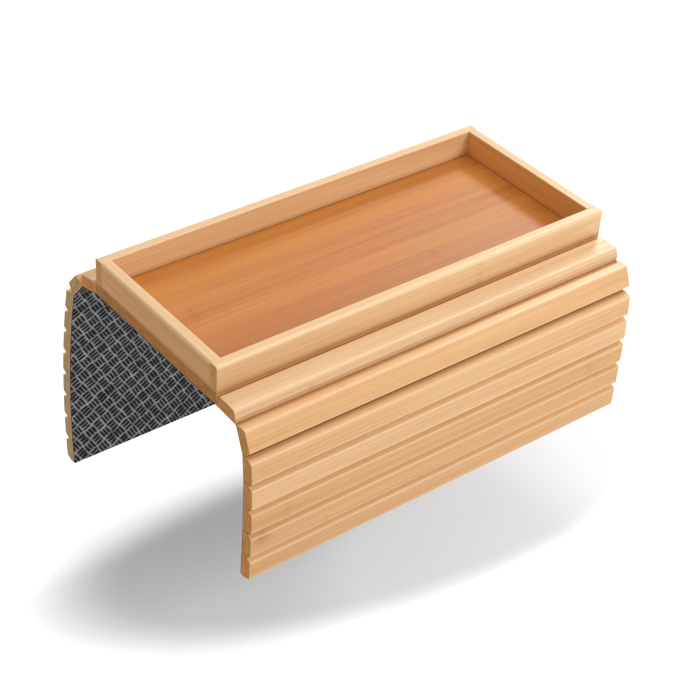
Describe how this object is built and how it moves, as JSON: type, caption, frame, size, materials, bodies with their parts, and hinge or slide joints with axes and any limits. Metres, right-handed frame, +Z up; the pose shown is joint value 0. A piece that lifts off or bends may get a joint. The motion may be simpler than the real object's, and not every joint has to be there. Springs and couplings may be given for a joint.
{
  "type": "sofa arm tray",
  "caption": "Rimmed bamboo tray on a wide board, with wings of hinged slats on a woven backing that drape over both sides of a sofa arm.",
  "frame": {"origin": "middle of the backing's underside below the base board, where the tray lies on the sofa arm", "axes": "+X along the slats and the tray's length, +Y across the arm towards the longer back wing, +Z up"},
  "size_m": [0.38, 0.2806, 0.2471],
  "materials": {
    "rim_bamboo": "satin lacquer",
    "board_bamboo": "satin lacquer",
    "slat_bamboo": "satin lacquer",
    "dowel_wood": "raw",
    "screw_steel": "zinc",
    "backing_weave": "woven vinyl strands"
  },
  "bodies": {
    "tray": {"front_rim": "rim_bamboo", "back_rim": "rim_bamboo", "left_rim": "rim_bamboo", "right_rim": "rim_bamboo", "base_board": "board_bamboo", "corner_dowels": "dowel_wood", "base_screws": "screw_steel", "centre_backing": "backing_weave"},
    "front_wing_1": {"front_slat_1": "slat_bamboo", "front_backing_1": "backing_weave"},
    "front_wing_2": {"front_slat_2": "slat_bamboo", "front_backing_2": "backing_weave"},
    "front_wing_3": {"front_slat_3": "slat_bamboo", "front_backing_3": "backing_weave"},
    "front_wing_4": {"front_slat_4": "slat_bamboo", "front_backing_4": "backing_weave"},
    "front_wing_5": {"front_slat_5": "slat_bamboo", "front_backing_5": "backing_weave"},
    "front_wing_6": {"front_slat_6": "slat_bamboo", "front_backing_6": "backing_weave"},
    "front_wing_7": {"front_slat_7": "slat_bamboo", "front_backing_7": "backing_weave"},
    "back_wing_1": {"back_slat_1": "slat_bamboo", "back_backing_1": "backing_weave"},
    "back_wing_2": {"back_slat_2": "slat_bamboo", "back_backing_2": "backing_weave"},
    "back_wing_3": {"back_slat_3": "slat_bamboo", "back_backing_3": "backing_weave"},
    "back_wing_4": {"back_slat_4": "slat_bamboo", "back_backing_4": "backing_weave"},
    "back_wing_5": {"back_slat_5": "slat_bamboo", "back_backing_5": "backing_weave"},
    "back_wing_6": {"back_slat_6": "slat_bamboo", "back_backing_6": "backing_weave"},
    "back_wing_7": {"back_slat_7": "slat_bamboo", "back_backing_7": "backing_weave"},
    "back_wing_8": {"back_slat_8": "slat_bamboo", "back_backing_8": "backing_weave"},
    "back_wing_9": {"back_slat_9": "slat_bamboo", "back_backing_9": "backing_weave"},
    "back_wing_10": {"back_slat_10": "slat_bamboo", "back_backing_10": "backing_weave"}
  },
  "joints": [
    {"name": "front_fold_1", "type": "hinge", "parent": "tray", "child": "front_wing_1", "pos_m": [0, -0.084, 0.00045], "axis": [1, 0, 0], "range_deg": [-6.5, 37]},
    {"name": "front_fold_2", "type": "hinge", "parent": "front_wing_1", "child": "front_wing_2", "pos_m": [0, -0.10767, -0.00079], "axis": [1, 0, 0], "range_deg": [-68.5, 3]},
    {"name": "front_fold_3", "type": "hinge", "parent": "front_wing_2", "child": "front_wing_3", "pos_m": [0, -0.11655, -0.02277], "axis": [1, 0, 0], "range_deg": [-21.5, 12]},
    {"name": "front_fold_4", "type": "hinge", "parent": "front_wing_3", "child": "front_wing_4", "pos_m": [0, -0.1182, -0.04641], "axis": [1, 0, 0], "range_deg": [-7.5, 26]},
    {"name": "front_fold_5", "type": "hinge", "parent": "front_wing_4", "child": "front_wing_5", "pos_m": [0, -0.1182, -0.07011], "axis": [1, 0, 0], "range_deg": [-4.5, 29]},
    {"name": "front_fold_6", "type": "hinge", "parent": "front_wing_5", "child": "front_wing_6", "pos_m": [0, -0.11779, -0.0938], "axis": [1, 0, 0], "range_deg": [-4.5, 29]},
    {"name": "front_fold_7", "type": "hinge", "parent": "front_wing_6", "child": "front_wing_7", "pos_m": [0, -0.11696, -0.11749], "axis": [1, 0, 0], "range_deg": [-4.5, 29]},
    {"name": "back_fold_1", "type": "hinge", "parent": "tray", "child": "back_wing_1", "pos_m": [0, 0.084, 0.00045], "axis": [-1, 0, 0], "range_deg": [-17.5, 16]},
    {"name": "back_fold_2", "type": "hinge", "parent": "back_wing_1", "child": "back_wing_2", "pos_m": [0, 0.107, -0.00528], "axis": [-1, 0, 0], "range_deg": [-39.5, 6]},
    {"name": "back_fold_3", "type": "hinge", "parent": "back_wing_2", "child": "back_wing_3", "pos_m": [0, 0.12223, -0.02344], "axis": [-1, 0, 0], "range_deg": [-31.5, 4]},
    {"name": "back_fold_4", "type": "hinge", "parent": "back_wing_3", "child": "back_wing_4", "pos_m": [0, 0.12716, -0.04662], "axis": [-1, 0, 0], "range_deg": [-5.5, 14]},
    {"name": "back_fold_5", "type": "hinge", "parent": "back_wing_4", "child": "back_wing_5", "pos_m": [0, 0.13127, -0.06996], "axis": [-1, 0, 0], "range_deg": [-5.5, 14]},
    {"name": "back_fold_6", "type": "hinge", "parent": "back_wing_5", "child": "back_wing_6", "pos_m": [0, 0.13457, -0.09343], "axis": [-1, 0, 0], "range_deg": [-5.5, 14]},
    {"name": "back_fold_7", "type": "hinge", "parent": "back_wing_6", "child": "back_wing_7", "pos_m": [0, 0.13705, -0.117], "axis": [-1, 0, 0], "range_deg": [-5.5, 14]},
    {"name": "back_fold_8", "type": "hinge", "parent": "back_wing_7", "child": "back_wing_8", "pos_m": [0, 0.1387, -0.14064], "axis": [-1, 0, 0], "range_deg": [-5.5, 14]},
    {"name": "back_fold_9", "type": "hinge", "parent": "back_wing_8", "child": "back_wing_9", "pos_m": [0, 0.13953, -0.16433], "axis": [-1, 0, 0], "range_deg": [-5.5, 14]},
    {"name": "back_fold_10", "type": "hinge", "parent": "back_wing_9", "child": "back_wing_10", "pos_m": [0, 0.13953, -0.18803], "axis": [-1, 0, 0], "range_deg": [-5.5, 14]}
  ]
}
